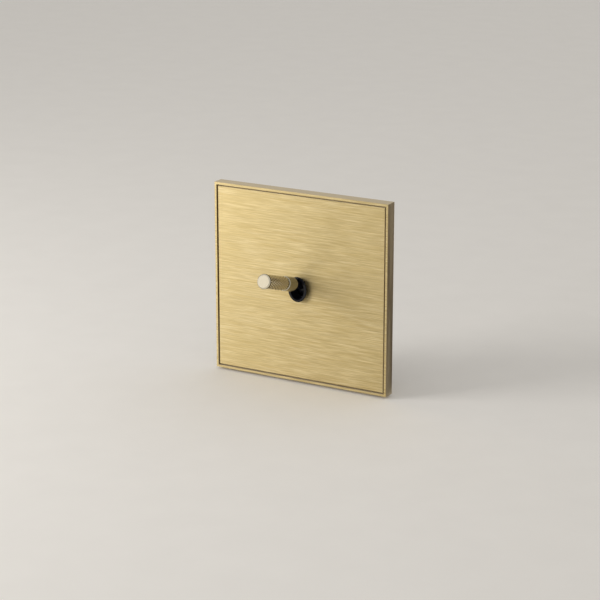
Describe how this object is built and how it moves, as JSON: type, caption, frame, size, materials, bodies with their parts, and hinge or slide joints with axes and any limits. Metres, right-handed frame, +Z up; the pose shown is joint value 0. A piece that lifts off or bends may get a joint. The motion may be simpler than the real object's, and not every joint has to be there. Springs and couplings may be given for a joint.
{
  "type": "two-way light switch",
  "caption": "Changeover toggle light switch on a square brushed brass wall plate with a shadow gap and a knurled lever in a black oval bush.",
  "frame": {"origin": "centre of the wall box screw pattern, on the wall plane behind the plate", "axes": "+Y points into the wall, -Y is the front the lever stands out of, +Z is up and +X is to the right seen from the front"},
  "size_m": [0.082, 0.0597, 0.082],
  "materials": {
    "brushed_brass": "fine horizontal brushing",
    "knurled_brass": "diamond knurled and turned",
    "gloss_black": "glossy",
    "black_moulding": "matt",
    "housing_moulding": "matt",
    "zinc_steel": "zinc plated",
    "screw_steel": "yellow zinc plated",
    "bright_steel": "ground",
    "plunger_nylon": "satin",
    "copper_strip": "rolled copper",
    "silver_contact": "silver facing",
    "terminal_brass": "sawn and drilled"
  },
  "bodies": {
    "switch": {"outer_frame": "brushed_brass", "face_plate": "brushed_brass", "lever_bush": "gloss_black", "carrier_frame": "black_moulding", "support_frame": "zinc_steel", "fixed_contacts": "silver_contact", "common_strip": "copper_strip", "upper_strip": "copper_strip", "lower_strip": "copper_strip", "terminal_blocks": "terminal_brass", "terminal_screws": "screw_steel", "mechanism_housing": "housing_moulding", "housing_cover": "housing_moulding", "housing_screws": "screw_steel"},
    "lever": {"lever_barrel": "knurled_brass", "lever_stem": "bright_steel", "lever_actuator": "gloss_black", "pivot_pin": "bright_steel", "plunger_spring": "bright_steel"},
    "plunger": {"plunger": "plunger_nylon"},
    "rocker": {"contact_rocker": "copper_strip", "rocker_contacts": "silver_contact"}
  },
  "joints": [
    {"name": "lever_tilt", "type": "hinge", "parent": "switch", "child": "lever", "pos_m": [0, 0, 0], "axis": [1, 0, 0], "range_deg": [0, 33.6]},
    {"name": "plunger_slide", "type": "slide", "parent": "lever", "child": "plunger", "axis": [0, -0.9573, 0.289], "range_m": [0, 0.0012], "stiffness_N_per_m": 800, "springref_m": -0.001, "deforming": ["plunger_spring"]},
    {"name": "rocker_tilt", "type": "hinge", "parent": "switch", "child": "rocker", "pos_m": [0, 0.01357, 0], "axis": [1, 0, 0], "range_deg": [-14, 0]}
  ],
  "couplings": [
    {"joint": "rocker_tilt", "follows": "lever_tilt", "ratio": -0.41666}
  ]
}
